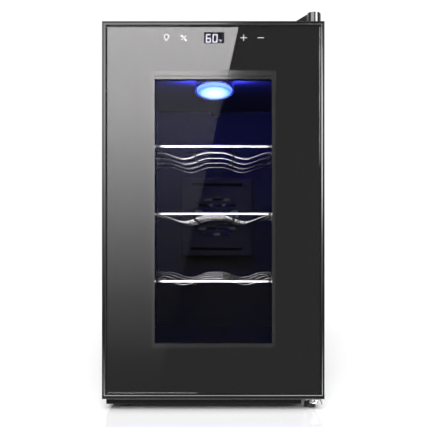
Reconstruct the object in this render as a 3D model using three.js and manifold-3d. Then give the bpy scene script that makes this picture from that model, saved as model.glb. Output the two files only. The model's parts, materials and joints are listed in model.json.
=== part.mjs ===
// A small thermoelectric wine cooler with a glass door, in millimetres.
// +Z is up, the door faces -Y, and the origin is on the floor under the middle of the cooler.

import * as THREE from 'three';
import { mergeVertices } from 'three/addons/utils/BufferGeometryUtils.js';
import Module from 'manifold-3d';

const wasm = await Module();
wasm.setup();

// ---- Driving dimensions -------------------------------------------------------------------

const WIDTH = 255;
const DEPTH = 505;
const HALF_W = WIDTH / 2;
const FRONT = -DEPTH / 2;
const REAR = DEPTH / 2;
const UNDERSIDE = 16;           // underside of the cabinet and of the door
const PLINTH_BOTTOM = 6;
const CASE_TOP = 449;           // top of the cabinet and of the door
const HINGE_COVER_TOP = 461.9;
const GAP = 0.3;                // left between pieces that rest against each other

const DOOR_BACK = FRONT + 32;
const CASE_FRONT = DOOR_BACK + 6;
const SHEET = 1.2;              // steel sheet
const BACK_SHEET_Y = 238;       // rear edge of the side panels
const FOAM_BACK = 162;

const FLANGE = 26;              // steel flange round the front of the cabinet
const FLANGE_TOP_Z = 415;
const FLANGE_BOTTOM_Z = 50;
const INNER_HALF_W = 95;        // the cold compartment
const FLOOR_Z = 64;
const CEILING_Z = 402;
const INNER_BACK = 130;
const LINER_WALL = 2;

const SHELF_LEVELS = { top: 311, middle: 230, bottom: 149 };
const SHELF_FRONT = -202.5;
const SHELF_HALF_W = 91.5;
const SHELF_BACK = 95;
const RAIL_FRONT = SHELF_FRONT - 6;
const RAIL_BACK = SHELF_BACK + 8;
const BAR_R = 2;
const WIRE_R = 1.6;
const WAVE_WIRES = 4;
const DIP_X = 40;               // centre of the cradle under each bottle
const DIP_HALF_W = 32;
const DIP_DEPTH = 8;
const SUPPORT_RODS = [-72, -24, 24, 72];

const PANE_HALF_W = 122.4;      // outer door glass
const PANE_BOTTOM = 22.5;
const PANE_TOP = 443.9;
const PRINT_HALF_W = 71.5;      // clear window left in the printed border
const PRINT_BOTTOM = 74.4;
const PRINT_TOP = 393.8;
const CLEAR_HALF_W = 67.4;      // clear window left inside the spacer
const CLEAR_BOTTOM = 79.3;
const CLEAR_TOP = 383.5;
const SPACER_W = 10;
const SPACER_HEAD = 13.5;       // height of the spacer's top bar

const PIN_X = 117;              // door pivot
const PIN_Y = FRONT + 16.5;
const PIN_R = 3;
const BUSH_R = 5;

const FAN_Z = 235;              // centre line of both fans and both heat sinks
const FAN_HALF = 40;
const FAN_BORE = 38.5;
const BLADE_TIP = 36;
const HUB_R = 16;
const BLADES = 7;
const BLADE_PITCH = 35;         // degrees

// ---- Materials ----------------------------------------------------------------------------

function finish(color, roughness, metalness, extra = {}) {
  return new THREE.MeshStandardMaterial({ color, roughness, metalness, ...extra });
}

const FINISH = {
  caseSteel: finish(0x1b1c1e, 0.45, 0.4),
  doorFrame: finish(0x2a2b2d, 0.25, 0.3),
  glass: finish(0x9aa3a8, 0.05, 0, { transparent: true, opacity: 0.35 }),
  print: finish(0x0b0b0c, 0.15, 0),
  spacer: finish(0x8d9093, 0.35, 0.9),
  liner: finish(0x17181b, 0.35, 0),
  foam: finish(0xd9c88f, 0.95, 0),
  blackPlastic: finish(0x111214, 0.3, 0),
  greyPlastic: finish(0x2d2f33, 0.6, 0),
  rubber: finish(0x141414, 0.85, 0),
  chrome: finish(0xc9ccd0, 0.12, 1),
  zinc: finish(0xb9bcc0, 0.3, 1),
  aluminium: finish(0xb4b7ba, 0.4, 1),
  ceramic: finish(0xe6e4dc, 0.6, 0),
  board: finish(0x1d5a36, 0.5, 0),
  lens: finish(0xbfe9ff, 0.2, 0),
  display: finish(0x0a0b12, 0.1, 0),
  brass: finish(0xc7a75a, 0.3, 1),
};

// ---- Geometry helpers ---------------------------------------------------------------------

function solid(geometry) {
  const bare = geometry.clone();
  bare.deleteAttribute('normal');
  bare.deleteAttribute('uv');
  const merged = mergeVertices(bare, 1e-4);
  return new wasm.Manifold(new wasm.Mesh({
    numProp: 3,
    vertProperties: new Float32Array(merged.attributes.position.array),
    triVerts: new Uint32Array(merged.index.array),
  }));
}

function geometryOf(manifold) {
  const mesh = manifold.getMesh();
  const geometry = new THREE.BufferGeometry();
  geometry.setAttribute('position', new THREE.BufferAttribute(new Float32Array(mesh.vertProperties), 3));
  geometry.setIndex(new THREE.BufferAttribute(new Uint32Array(mesh.triVerts), 1));
  geometry.computeVertexNormals();
  return geometry;
}

function join(...geometries) {
  return geometryOf(geometries.map(solid).reduce((sum, next) => sum.add(next)));
}

function cut(geometry, ...tools) {
  return geometryOf(tools.map(solid).reduce((rest, tool) => rest.subtract(tool), solid(geometry)));
}

function common(first, second) {
  return geometryOf(solid(first).intersect(solid(second)));
}

// A box between two values on each axis.
function block(x0, x1, y0, y1, z0, z1) {
  const box = new THREE.BoxGeometry(x1 - x0, y1 - y0, z1 - z0);
  return box.translate((x0 + x1) / 2, (y0 + y1) / 2, (z0 + z1) / 2);
}

function outline(points) {
  return new THREE.Shape(points.map(([a, b]) => new THREE.Vector2(a, b)));
}

function rectangle(a0, a1, b0, b1) {
  return outline([[a0, b0], [a1, b0], [a1, b1], [a0, b1]]);
}

function extrude(shape, depth, curveSegments = 8) {
  return new THREE.ExtrudeGeometry(shape, { depth, bevelEnabled: false, curveSegments });
}

// An outline drawn in X and Z, as thick as y0 to y1.
function slabY(shape, y0, y1, curveSegments) {
  return extrude(shape, y1 - y0, curveSegments).rotateX(Math.PI / 2).translate(0, y1, 0);
}

// An outline drawn in X and Y, as tall as z0 to z1.
function slabZ(shape, z0, z1, curveSegments) {
  return extrude(shape, z1 - z0, curveSegments).translate(0, 0, z0);
}

// An outline drawn in Y and Z, as wide as x0 to x1.
function slabX(shape, x0, x1) {
  const turn = new THREE.Matrix4().makeBasis(
    new THREE.Vector3(0, 1, 0), new THREE.Vector3(0, 0, 1), new THREE.Vector3(1, 0, 0));
  return extrude(shape, x1 - x0).applyMatrix4(turn).translate(x0, 0, 0);
}

function cylinderZ(x, y, radius, z0, z1, sides = 16) {
  const cylinder = new THREE.CylinderGeometry(radius, radius, z1 - z0, sides);
  return cylinder.rotateX(Math.PI / 2).translate(x, y, (z0 + z1) / 2);
}

function cylinderY(x, z, radius, y0, y1, sides = 16) {
  const cylinder = new THREE.CylinderGeometry(radius, radius, y1 - y0, sides);
  return cylinder.translate(x, (y0 + y1) / 2, z);
}

// A round rod between two points.
function rod(start, end, radius, sides = 6) {
  const from = new THREE.Vector3(...start);
  const to = new THREE.Vector3(...end);
  const along = to.clone().sub(from);
  const turn = new THREE.Quaternion().setFromUnitVectors(
    new THREE.Vector3(0, 1, 0), along.clone().normalize());
  const cylinder = new THREE.CylinderGeometry(radius, radius, along.length(), sides);
  const middle = from.add(to).multiplyScalar(0.5);
  return cylinder.applyQuaternion(turn).translate(middle.x, middle.y, middle.z);
}

// A rectangular ring in X and Z: the outer rectangle less the inner one.
function ringY(outer, inner, y0, y1) {
  const [a0, a1, b0, b1] = inner;
  const shape = rectangle(...outer);
  shape.holes.push(outline([[a0, b0], [a0, b1], [a1, b1], [a1, b0]]));
  return slabY(shape, y0, y1);
}

function grown([a0, a1, b0, b1], by) {
  return [a0 - by, a1 + by, b0 - by, b1 + by];
}

const cooler = new THREE.Group();

function add(name, geometry, material, parent = cooler) {
  const mesh = new THREE.Mesh(geometry, material);
  mesh.name = name;
  parent.add(mesh);
}

// ---- Cabinet ------------------------------------------------------------------------------

// One side panel with its front and rear flanges, as seen from above.
function sidePanel(side) {
  const out = side * HALF_W;
  const skin = out - side * SHEET;
  const front = out - side * FLANGE;
  const back = out - side * 12;
  const points = [
    [out, CASE_FRONT], [front, CASE_FRONT], [front, CASE_FRONT + SHEET], [skin, CASE_FRONT + SHEET],
    [skin, BACK_SHEET_Y - SHEET], [back, BACK_SHEET_Y - SHEET], [back, BACK_SHEET_Y],
    [out, BACK_SHEET_Y],
  ];
  return slabZ(outline(points), UNDERSIDE, CASE_TOP - SHEET - GAP);
}

// Top or bottom panel: a flat sheet with a flange that closes the front between the side flanges.
function topPanel() {
  const flangeHalf = HALF_W - FLANGE - GAP;
  const sheet = block(-HALF_W, HALF_W, CASE_FRONT, BACK_SHEET_Y, CASE_TOP - SHEET, CASE_TOP);
  const flange = block(-flangeHalf, flangeHalf, CASE_FRONT, CASE_FRONT + SHEET, FLANGE_TOP_Z, CASE_TOP);
  return join(sheet, flange);
}

function bottomPanel() {
  const flangeHalf = HALF_W - FLANGE - GAP;
  const inside = HALF_W - SHEET - GAP;
  const y0 = CASE_FRONT + SHEET + GAP;
  const sheet = block(-inside, inside, y0, BACK_SHEET_Y - SHEET - GAP, UNDERSIDE, UNDERSIDE + SHEET);
  const tongue = block(-flangeHalf, flangeHalf, CASE_FRONT, y0 + 1, UNDERSIDE, UNDERSIDE + SHEET);
  const flange = block(-flangeHalf, flangeHalf, CASE_FRONT, CASE_FRONT + SHEET, UNDERSIDE, FLANGE_BOTTOM_Z);
  return join(sheet, tongue, flange);
}

const INLET_X = -78;
const INLET_Z = 52;
const BACK_PANEL_Y = BACK_SHEET_Y + GAP;

function backPanel() {
  const shape = rectangle(-HALF_W + 1, HALF_W - 1, UNDERSIDE + 1, CASE_TOP - 1);
  const fanHole = new THREE.Path();
  fanHole.absarc(0, FAN_Z, FAN_BORE, 0, 2 * Math.PI, true);
  shape.holes.push(fanHole);
  const sheet = slabY(shape, BACK_PANEL_Y, BACK_PANEL_Y + SHEET, 12);
  const [near, far] = [BACK_PANEL_Y - 1, BACK_PANEL_Y + 3];
  const openings = [block(INLET_X - 14, INLET_X + 14, near, far, INLET_Z - 10.3, INLET_Z + 10.3)];
  for (const side of [-1, 1]) {
    for (let row = 0; row < 7; row += 1) {
      const z = 330 + row * 12;
      const x = side * 60;
      openings.push(block(x - 28, x + 28, near, far, z, z + 4));
    }
  }
  return cut(sheet, ...openings);
}

// The moulded tub of the cold compartment, with its front flange and shelf rails.
function liner() {
  const x = INNER_HALF_W;
  const outer = block(-x - LINER_WALL, x + LINER_WALL, CASE_FRONT, INNER_BACK + LINER_WALL,
    FLOOR_Z - LINER_WALL, CEILING_Z + LINER_WALL);
  const lip = HALF_W - FLANGE - GAP;
  const flange = block(-lip, lip, CASE_FRONT, CASE_FRONT + LINER_WALL,
    FLANGE_BOTTOM_Z + GAP, FLANGE_TOP_Z - GAP);
  const hollow = block(-x, x, CASE_FRONT - 1, INNER_BACK, FLOOR_Z, CEILING_Z);
  const coldPort = block(-41, 41, INNER_BACK - 1, INNER_BACK + 5, FAN_Z - 41, FAN_Z + 41);
  const rails = [];
  for (const level of Object.values(SHELF_LEVELS)) {
    for (const side of [-1, 1]) {
      const wall = side * (x + 0.5);
      const tip = side * (x - 5.5);
      const [x0, x1] = [Math.min(wall, tip), Math.max(wall, tip)];
      const under = level - BAR_R - GAP;
      const over = level + BAR_R + GAP;
      rails.push(block(x0, x1, RAIL_FRONT, RAIL_BACK, under - 4, under));
      rails.push(block(x0, x1, RAIL_FRONT, RAIL_BACK, over, over + 3));
      rails.push(block(x0, x1, RAIL_BACK - 4, RAIL_BACK, under - 1.7, over + 1.7));
    }
  }
  return join(cut(join(outer, flange), hollow, coldPort), ...rails);
}

// Rigid foam that fills the walls round the liner, open where the cold side passes through.
function foamInsulation() {
  const x = HALF_W - SHEET - GAP;
  const around = INNER_HALF_W + LINER_WALL + GAP;
  const front = CASE_FRONT + LINER_WALL + GAP;
  const body = block(-x, x, front, FOAM_BACK, UNDERSIDE + SHEET + GAP, CASE_TOP - SHEET - GAP);
  const tub = block(-around, around, front - 1, INNER_BACK + LINER_WALL + GAP,
    FLOOR_Z - LINER_WALL - GAP, CEILING_Z + LINER_WALL + GAP);
  const sinkPort = block(-42, 42, INNER_BACK, 157, FAN_Z - 42, FAN_Z + 42);
  const modulePort = block(-27, 27, 150, FOAM_BACK + 1, FAN_Z - 27, FAN_Z + 27);
  return cut(body, tub, sinkPort, modulePort);
}

const FRONT_LEFT_FOOT = [-109, -190];
const HINGE_FOOT = [114, -212.5];              // screwed up into the lower hinge bracket
const REAR_FEET = [[-109, 215], [109, 215]];
const PLINTH_FRONT = -228;
const NOTCH = { x: 103, y: -166 };              // corner of the plinth left out for the hinge

function plinthPlan(inset) {
  const side = HALF_W - 1.5 - inset;
  const front = PLINTH_FRONT + inset;
  return outline([[-side, front], [NOTCH.x - inset, front], [NOTCH.x - inset, NOTCH.y + inset],
    [side, NOTCH.y + inset], [side, BACK_SHEET_Y - 2 - inset], [-side, BACK_SHEET_Y - 2 - inset]]);
}

// The base under the cabinet: a tray with its open side down and a boss over each foot.
function basePlinth() {
  const top = UNDERSIDE - GAP;
  const tray = cut(slabZ(plinthPlan(0), PLINTH_BOTTOM, top),
    slabZ(plinthPlan(3), PLINTH_BOTTOM - 1, top - 1.6));
  const bosses = [FRONT_LEFT_FOOT, ...REAR_FEET].map(
    ([x, y]) => cylinderZ(x, y, 10, PLINTH_BOTTOM, top - 1));
  return join(tray, ...bosses);
}

function lathe(x, y, points) {
  const profile = points.map(([r, z]) => new THREE.Vector2(r, z));
  return new THREE.LatheGeometry(profile, 16).rotateX(Math.PI / 2).translate(x, y, 0);
}

function padFoot([x, y]) {
  const radius = 8;
  const top = PLINTH_BOTTOM - GAP;
  return lathe(x, y, [[0, 0], [radius - 1, 0], [radius, 1], [radius - 0.6, top], [0, top]]);
}

// A taller foot whose stud reaches up to the hinge bracket.
function hingeFoot([x, y]) {
  const radius = 6.8;
  const top = BRACKET_Z - GAP;
  return lathe(x, y, [[0, 0], [radius - 1, 0], [radius, 1], [radius - 0.5, 6.5],
    [4, 6.5], [4, top], [0, top]]);
}

function cabinet() {
  add('side_panel_left', sidePanel(-1), FINISH.caseSteel);
  add('side_panel_right', sidePanel(1), FINISH.caseSteel);
  add('top_panel', topPanel(), FINISH.caseSteel);
  add('bottom_panel', bottomPanel(), FINISH.caseSteel);
  add('back_panel', backPanel(), FINISH.caseSteel);
  add('liner', liner(), FINISH.liner);
  add('foam_insulation', foamInsulation(), FINISH.foam);
  add('base_plinth', basePlinth(), FINISH.blackPlastic);
  add('foot_front_left', padFoot(FRONT_LEFT_FOOT), FINISH.rubber);
  add('foot_front_right', hingeFoot(HINGE_FOOT), FINISH.rubber);
  add('foot_rear_left', padFoot(REAR_FEET[0]), FINISH.rubber);
  add('foot_rear_right', padFoot(REAR_FEET[1]), FINISH.rubber);
  const corners = [[-118, 30], [118, 30], [-118, 435], [118, 435]];
  corners.forEach(([x, z], index) => {
    const y0 = BACK_PANEL_Y + SHEET + 0.1;
    add(`back_screw_${index + 1}`, cylinderY(x, z, 3.5, y0, y0 + 2.2, 8), FINISH.zinc);
  });
}

// ---- Shelves ------------------------------------------------------------------------------

// Height of a cross wire over the width: flat at the ends, a cradle each side, a hump between.
function waveHeight(x) {
  const fromDip = Math.min(Math.abs(Math.abs(x) - DIP_X), DIP_HALF_W);
  return -DIP_DEPTH * 0.5 * (1 + Math.cos(Math.PI * fromDip / DIP_HALF_W));
}

function waveWire(y, level) {
  const steps = 20;
  const points = [];
  for (let i = 0; i <= steps; i += 1) {
    const x = SHELF_HALF_W * (2 * i / steps - 1);
    points.push(new THREE.Vector3(x, y, level + waveHeight(x)));
  }
  const section = new THREE.Shape();
  section.absarc(0, 0, WIRE_R, 0, 2 * Math.PI, false);
  const path = new THREE.CatmullRomCurve3(points);
  return new THREE.ExtrudeGeometry(section, { steps: steps, curveSegments: 3, extrudePath: path });
}

function shelf(level) {
  const tip = SHELF_HALF_W + 1.5;
  const pieces = [rod([-tip, SHELF_FRONT, level], [tip, SHELF_FRONT, level], BAR_R, 8)];
  for (const x of [-SHELF_HALF_W, SHELF_HALF_W]) {
    pieces.push(rod([x, SHELF_FRONT, level], [x, SHELF_BACK, level], BAR_R, 6));
  }
  const pitch = (SHELF_BACK - SHELF_FRONT) / WAVE_WIRES;
  for (let wire = 1; wire <= WAVE_WIRES; wire += 1) {
    pieces.push(waveWire(SHELF_FRONT + wire * pitch, level));
  }
  for (const x of SUPPORT_RODS) {
    const z = level + waveHeight(x) - WIRE_R;
    pieces.push(rod([x, SHELF_FRONT - 1, level - 0.5], [x, SHELF_FRONT + pitch, z], WIRE_R * 0.8, 6));
    pieces.push(rod([x, SHELF_FRONT + pitch - 2, z], [x, SHELF_BACK + 1, z], WIRE_R * 0.8, 6));
  }
  return join(...pieces);
}

function shelves() {
  for (const [name, level] of Object.entries(SHELF_LEVELS)) {
    add(`shelf_${name}`, shelf(level), FINISH.chrome);
  }
}

// ---- Cooling unit -------------------------------------------------------------------------

// A plate with a comb of upright fins on one side; fins point along -Y when toward is -1.
function finnedSink(halfW, z0, z1, base0, base1, tip, fins, finT) {
  const baseFace = tip > base1 ? base1 : base0;
  const plate = block(-halfW, halfW, base0, base1, z0, z1);
  const pitch = (2 * halfW - finT) / (fins - 1);
  const blades = [];
  for (let i = 0; i < fins; i += 1) {
    const x = -halfW + i * pitch;
    const root = baseFace + (tip > baseFace ? -1 : 1);
    blades.push(block(x, x + finT, Math.min(root, tip), Math.max(root, tip), z0, z1));
  }
  return join(plate, ...blades);
}

// A square fan housing: round bore, three struts and a disc that carries the motor.
function fanFrame(y0, y1) {
  const shape = rectangle(-FAN_HALF, FAN_HALF, FAN_Z - FAN_HALF, FAN_Z + FAN_HALF);
  const bore = new THREE.Path();
  bore.absarc(0, FAN_Z, FAN_BORE, 0, 2 * Math.PI, true);
  shape.holes.push(bore);
  const pieces = [slabY(shape, y0, y1, 12), cylinderY(0, FAN_Z, HUB_R - 1, y1 - 3, y1, 16)];
  for (let strut = 0; strut < 3; strut += 1) {
    const arm = block(-2, 2, y1 - 2.5, y1 - 0.5, 5, FAN_BORE + 0.8);
    pieces.push(arm.rotateY(strut * 2 * Math.PI / 3 + 0.3).translate(0, 0, FAN_Z));
  }
  return join(...pieces);
}

// Hub and pitched blades, turning about Y.
function fanRotor(y0, y1) {
  const pieces = [cylinderY(0, 0, HUB_R, y0, y1, 16)];
  const middle = (y0 + y1) / 2;
  const chord = (y1 - y0 - 2) / Math.sin(THREE.MathUtils.degToRad(BLADE_PITCH));
  for (let i = 0; i < BLADES; i += 1) {
    const blade = block(-0.7, 0.7, -chord / 2, chord / 2, HUB_R - 2, BLADE_TIP + 2);
    blade.rotateZ(THREE.MathUtils.degToRad(90 - BLADE_PITCH)).translate(0, middle, 0);
    pieces.push(blade.rotateY(i * 2 * Math.PI / BLADES));
  }
  const swept = cylinderY(0, 0, BLADE_TIP, y0, y1, 28);
  return common(join(...pieces), swept).translate(0, 0, FAN_Z);
}

// The cover over the inner fan: a shallow box open at the back, with slots in its face.
function innerFanCover() {
  const outer = [-55, 55, FAN_Z - 60, FAN_Z + 60];
  const y0 = 106;
  const y1 = INNER_BACK - GAP;
  const box = block(outer[0], outer[1], y0, y1, outer[2], outer[3]);
  const inner = grown(outer, -2);
  const tools = [block(inner[0], inner[1], y0 + 2, y1 + 1, inner[2], inner[3])];
  for (let row = -3; row <= 3; row += 1) {
    const half = Math.sqrt(34 * 34 - (row * 9) ** 2);
    const z = FAN_Z + row * 9;
    tools.push(block(-half, half, y0 - 1, y0 + 3, z - 2, z + 2));
  }
  for (const z of [FAN_Z - 52, FAN_Z + 48]) {
    tools.push(block(-40, 40, y0 - 1, y0 + 3, z, z + 4));
  }
  return cut(box, ...tools);
}

const REAR_COVER_Y = BACK_PANEL_Y + SHEET + 0.1;

// The louvred cover over the rear fan, which also keeps the cooler off the wall.
function rearVentCover() {
  const outer = [-52, 52, FAN_Z - 55, FAN_Z + 55];
  const box = block(outer[0], outer[1], REAR_COVER_Y, REAR, outer[2], outer[3]);
  const inner = grown(outer, -2);
  const tools = [block(inner[0], inner[1], REAR_COVER_Y - 1, REAR - 2, inner[2], inner[3])];
  for (let row = -4; row <= 4; row += 1) {
    const z = FAN_Z + row * 11;
    tools.push(block(-44, 44, REAR - 3, REAR + 1, z - 2.5, z + 2.5));
  }
  return cut(box, ...tools);
}

function coolingUnit() {
  add('inner_fan_cover', innerFanCover(), FINISH.blackPlastic);
  add('inner_fan_frame', fanFrame(113, 128), FINISH.greyPlastic);
  add('inner_fan_rotor', fanRotor(113.5, 124.5), FINISH.greyPlastic);
  add('cold_sink', finnedSink(40, FAN_Z - 40, FAN_Z + 40, 150, 156, 133, 12, 1.4),
    FINISH.aluminium);
  add('cold_spacer_block', block(-25, 25, 156 + GAP, 159.7, FAN_Z - 25, FAN_Z + 25), FINISH.aluminium);
  add('thermoelectric_module', block(-20, 20, 160, 163.9, FAN_Z - 20, FAN_Z + 20), FINISH.ceramic);
  add('hot_sink', finnedSink(50, FAN_Z - 60, FAN_Z + 60, 164.2, 170.2, 204, 15, 1.4), FINISH.aluminium);
  add('rear_fan_frame', fanFrame(206, 231), FINISH.greyPlastic);
  add('rear_fan_rotor', fanRotor(207, 227), FINISH.greyPlastic);
  add('rear_vent_cover', rearVentCover(), FINISH.blackPlastic);
}

// ---- Power supply -------------------------------------------------------------------------

function powerBoard() {
  const z0 = 24;
  const z1 = z0 + 1.6;
  const sheet = block(-52, 52, 175, 229, z0, z1);
  const lower = z1 - 0.2;
  return join(sheet,
    block(-20, 8, 188, 212, lower, 46),
    block(28, 32, 182, 224, lower, 50),
    block(-44, -32, 180, 200, lower, 38),
    cylinderZ(18, 195, 6, lower, 48, 10),
    cylinderZ(18, 212, 6, lower, 48, 10),
    cylinderZ(-38, 215, 5, lower, 36, 10));
}

function powerBoardTray() {
  const z0 = UNDERSIDE + SHEET + GAP;
  const pieces = [block(-56, 56, 171, 232, z0, z0 + 1.5)];
  for (const x of [-56, 54.5]) {
    pieces.push(block(x, x + 1.5, 171, 232, z0, 30));
  }
  for (const [x, y] of [[-46, 179], [46, 179], [-46, 225], [46, 225]]) {
    pieces.push(cylinderZ(x, y, 3, z0 + 1, 24 - GAP, 8));
  }
  return join(...pieces);
}

// A mains appliance inlet: bezel outside the back panel, body inside, recess for the connector.
function powerInlet() {
  const bezelY = BACK_PANEL_Y + SHEET + 0.1;
  const body = block(INLET_X - 13.6, INLET_X + 13.6, 222, bezelY + 1, INLET_Z - 10, INLET_Z + 10);
  const bezel = block(INLET_X - 16, INLET_X + 16, bezelY, bezelY + 2.2, INLET_Z - 12.5, INLET_Z + 12.5);
  const recess = block(INLET_X - 12, INLET_X + 12, 224.5, bezelY + 3, INLET_Z - 8, INLET_Z + 8);
  return cut(join(body, bezel), recess);
}

function powerSupply() {
  add('power_board', powerBoard(), FINISH.board);
  add('power_board_tray', powerBoardTray(), FINISH.greyPlastic);
  add('power_inlet', powerInlet(), FINISH.blackPlastic);
  for (const [name, dx, dz] of [['line', -7, 0], ['neutral', 7, 0], ['earth', 0, 0]]) {
    const x = INLET_X + dx;
    const z = INLET_Z + dz;
    add(`inlet_pin_${name}`, block(x - 1, x + 1, 224.5 + GAP, 237, z - 2, z + 2), FINISH.brass);
  }
}

// ---- Lamp ---------------------------------------------------------------------------------

const LAMP_Y = -150;
const LAMP_Z = 386.6;
const LAMP_TILT = Math.PI / 4;

// An elliptical slab across the lamp's slanting axis; depth is counted back from the lens face.
function lampSlab(halfW, halfH, depth0, depth1, hole) {
  const shape = new THREE.Shape();
  shape.absellipse(0, 0, halfW, halfH, 0, 2 * Math.PI, false);
  if (hole) {
    const inner = new THREE.Path();
    inner.absellipse(0, 0, hole[0], hole[1], 0, 2 * Math.PI, true);
    shape.holes.push(inner);
  }
  const slab = extrude(shape, depth1 - depth0, 12).translate(0, 0, depth0);
  return slab.rotateX(-LAMP_TILT).translate(0, LAMP_Y, LAMP_Z);
}

function lampHousing() {
  const shell = common(lampSlab(25, 15, 0, 40),
    block(-30, 30, LAMP_Y - 20, LAMP_Y + 60, LAMP_Z - 20, CEILING_Z - GAP));
  return cut(shell, lampSlab(22.8, 12.8, -1, 7));
}

// A shallow trunk for the lamp's wire: along the ceiling, then down the back wall.
function lampWireDuct() {
  const front = LAMP_Y + 37;
  const back = INNER_BACK - GAP;
  const along = outline([[-18, front], [18, front], [7, back], [-7, back]]);
  const post = block(-7, 7, back - 7.5, back, FAN_Z + 60 + GAP, CEILING_Z - GAP);
  return join(slabZ(along, CEILING_Z - 7.5, CEILING_Z - GAP), post);
}

function lamp() {
  add('lamp_housing', lampHousing(), FINISH.blackPlastic);
  add('lamp_lens', lampSlab(22.4, 12.4, 0.4, 2.9), FINISH.lens);
  add('lamp_board', lampSlab(22.4, 12.4, 5, 6.6), FINISH.board);
  add('lamp_wire_duct', lampWireDuct(), FINISH.liner);
}

// ---- Door ---------------------------------------------------------------------------------

const WALL_X = HALF_W - 8;                     // inside of the frame's walls
const PANE_FRONT_Y = FRONT + 0.3;
const PANE_BACK_Y = PANE_FRONT_Y + 4;
const PRINT_BACK_Y = PANE_BACK_Y + 0.5;
const SPACER_FRONT_Y = PRINT_BACK_Y + 0.1;
const SPACER_BACK_Y = SPACER_FRONT_Y + 12;
const INNER_PANE_Y = SPACER_BACK_Y + 0.1;
const CLEAR = [-CLEAR_HALF_W, CLEAR_HALF_W, CLEAR_BOTTOM, CLEAR_TOP];
const SPACER_OUT = [CLEAR[0] - SPACER_W, CLEAR[1] + SPACER_W, CLEAR[2] - SPACER_W, CLEAR[3] + SPACER_HEAD];
const INNER_PANE = grown(SPACER_OUT, 3.8);
const DOOR_WALLS = [-WALL_X, WALL_X, UNDERSIDE + 8, CASE_TOP - 8];
const BOSS = { x0: PIN_X - 7.5, x1: PIN_X + 7.5, y0: PIN_Y - 7.5, y1: PIN_Y + 7.5, height: 15 };
const GRIP = { depth: 5, y0: FRONT + 12, y1: FRONT + 27, z0: 195, z1: 275 };

function doorFrame() {
  const ring = ringY([-HALF_W, HALF_W, UNDERSIDE, CASE_TOP], DOOR_WALLS, FRONT, DOOR_BACK);
  const boss = (z0, z1) => block(BOSS.x0, BOSS.x1, BOSS.y0, BOSS.y1, z0, z1);
  const top = boss(CASE_TOP - BOSS.height, CASE_TOP - 1);
  const bottom = boss(UNDERSIDE + 1, UNDERSIDE + BOSS.height);
  const recess = block(-PANE_HALF_W - GAP, PANE_HALF_W + GAP, FRONT - 1, PRINT_BACK_Y + 0.1,
    PANE_BOTTOM - GAP, PANE_TOP + GAP);
  const bore = BUSH_R + GAP;
  return cut(join(ring, top, bottom), recess,
    cylinderZ(PIN_X, PIN_Y, bore, CASE_TOP - 12, CASE_TOP + 1),
    cylinderZ(PIN_X, PIN_Y, bore, UNDERSIDE - 1, UNDERSIDE + 12),
    block(-HALF_W - 1, -HALF_W + GRIP.depth, GRIP.y0, GRIP.y1, GRIP.z0, GRIP.z1));
}

// The moulding that closes the back of the door and holds the inner pane.
function doorRearPanel() {
  const plateY = DOOR_BACK - 3;
  const port = [SPACER_OUT[0] + 0.2, SPACER_OUT[1] - 0.2, SPACER_OUT[2] + 0.2, SPACER_OUT[3] - 9];
  const seat = grown(INNER_PANE, 0.4);
  const wall = grown(seat, 3);
  const plate = ringY(grown(DOOR_WALLS, -GAP), port, plateY, DOOR_BACK);
  const step = ringY(wall, port, INNER_PANE_Y + 3.3, plateY + 1);
  const collar = ringY(wall, seat, SPACER_FRONT_Y + 0.1, plateY + 1);
  return join(plate, step, collar);
}

// Foam in the hollow sides and bottom of the door.
function doorFoam() {
  const outer = grown(DOOR_WALLS, -0.6);
  const inner = grown(INNER_PANE, 3.8);
  const y0 = SPACER_FRONT_Y + 3;
  const y1 = DOOR_BACK - 3.5;
  const ring = ringY(outer, inner, y0, y1);
  const head = block(-HALF_W, HALF_W, y0 - 1, y1 + 1, inner[3] - 1, CASE_TOP);
  const boss = block(BOSS.x0 - 1, BOSS.x1 + 6, y0 - 1, y1 + 1, UNDERSIDE, UNDERSIDE + BOSS.height + 1);
  return cut(ring, head, boss);
}

const SEAL_OUT = [-111.5, 111.5, 27.5, 437.5];
const SEAL_IN = grown(SEAL_OUT, -9.5);
const DISPLAY_HALF_W = 13.5;
const DISPLAY_Z = [423, 438];

function touchBoard() {
  const y0 = SPACER_FRONT_Y + 0.1;
  return ringY([-68, 68, 413, 440], [-DISPLAY_HALF_W - GAP, DISPLAY_HALF_W + GAP,
    DISPLAY_Z[0] - GAP, DISPLAY_Z[1] + GAP], y0, y0 + 1.6);
}

function bush(z0, z1) {
  const inner = PIN_R + 0.35;
  return lathe(PIN_X, PIN_Y, [[inner, z0], [BUSH_R, z0], [BUSH_R, z1], [inner, z1], [inner, z0]]);
}

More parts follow.
